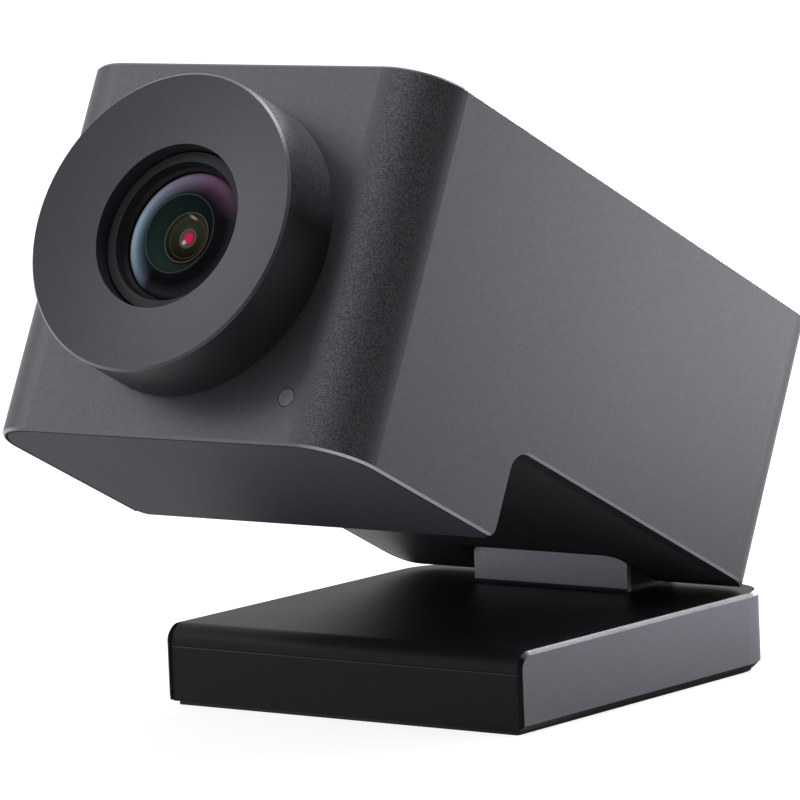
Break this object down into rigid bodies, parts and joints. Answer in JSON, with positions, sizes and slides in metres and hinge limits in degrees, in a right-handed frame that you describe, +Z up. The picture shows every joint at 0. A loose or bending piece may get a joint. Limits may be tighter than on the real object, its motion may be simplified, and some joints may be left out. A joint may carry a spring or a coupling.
{
  "type": "conference camera",
  "caption": "Compact conference camera: metal-sleeved head with a large dished lens ring, stepped chin and a folding hinged foot for a display or tripod.",
  "frame": {"origin": "mouth of the tripod thread, in the middle of the foot's flat underside", "axes": "+Z up from the surface the foot stands on, +X to the right of someone facing the lens, +Y from the lens towards the rear"},
  "size_m": [0.056, 0.109, 0.0829],
  "materials": {
    "shell_metal": "anodised dark grey with a fine matte grain",
    "ring_metal": "anodised dark grey with a fine matte grain",
    "foot_metal": "anodised grey with a fine matte grain",
    "black_metal": "matte black",
    "cover_plastic": "satin charcoal",
    "black_plastic": "fine matte texture",
    "frame_plastic": "glass-filled, matte",
    "lens_black": "black, turned",
    "lens_glass": "coated",
    "inner_glass": "coated",
    "filter_glass": "coated, reddish",
    "rubber": "matte",
    "steel": "plain",
    "brass": "turned",
    "board_green": "solder mask",
    "chip_black": "moulded",
    "soft_grey": "soft",
    "bare_aluminium": "extruded",
    "flex_amber": "film",
    "ivory_plastic": "moulded",
    "light_guide": "milky, clear edge"
  },
  "bodies": {
    "foot": {"foot_band": "foot_metal", "foot_base": "black_plastic", "foot_top_cover": "black_plastic", "foot_pad": "rubber", "tripod_nut": "brass", "foot_cover_screws": "steel", "hinge_arm": "black_metal", "hinge_arm_face": "foot_metal", "hinge_arm_screws": "steel"},
    "head": {"hinge_pin": "steel", "hinge_washers": "steel", "hinge_nuts": "steel", "hinge_bracket_left": "steel", "hinge_bracket_right": "steel", "hinge_bracket_screws": "black_metal", "housing_sleeve": "shell_metal", "top_cover": "cover_plastic", "chin_cover": "cover_plastic", "recess_cover": "black_plastic", "recess_film": "black_plastic", "inner_frame": "frame_plastic", "frame_screws": "black_metal", "lens_bezel": "ring_metal", "bezel_screws": "steel", "dust_seal": "rubber", "lens_barrel": "lens_black", "lens_ring": "lens_black", "front_glass": "lens_glass", "second_glass": "inner_glass", "aperture_disc": "lens_black", "lens_spacer": "lens_black", "rear_glass": "inner_glass", "rear_lens_ring": "lens_black", "lens_holder": "frame_plastic", "infrared_filter": "filter_glass", "image_sensor": "chip_black", "sensor_board": "board_green", "sensor_board_screws": "steel", "sensor_flex": "flex_amber", "flex_connectors": "ivory_plastic", "status_led": "ivory_plastic", "light_pipe": "light_guide", "main_board": "board_green", "board_screws": "steel", "processor": "chip_black", "memory_chips": "chip_black", "thermal_pad": "soft_grey", "heat_sink": "bare_aluminium", "cable_socket": "steel"}
  },
  "joints": [
    {"name": "head_tilt", "type": "hinge", "parent": "foot", "child": "head", "pos_m": [0, 0.0243, 0.019], "axis": [-1, 0, 0], "range_deg": [-26.4, 73.6]}
  ]
}
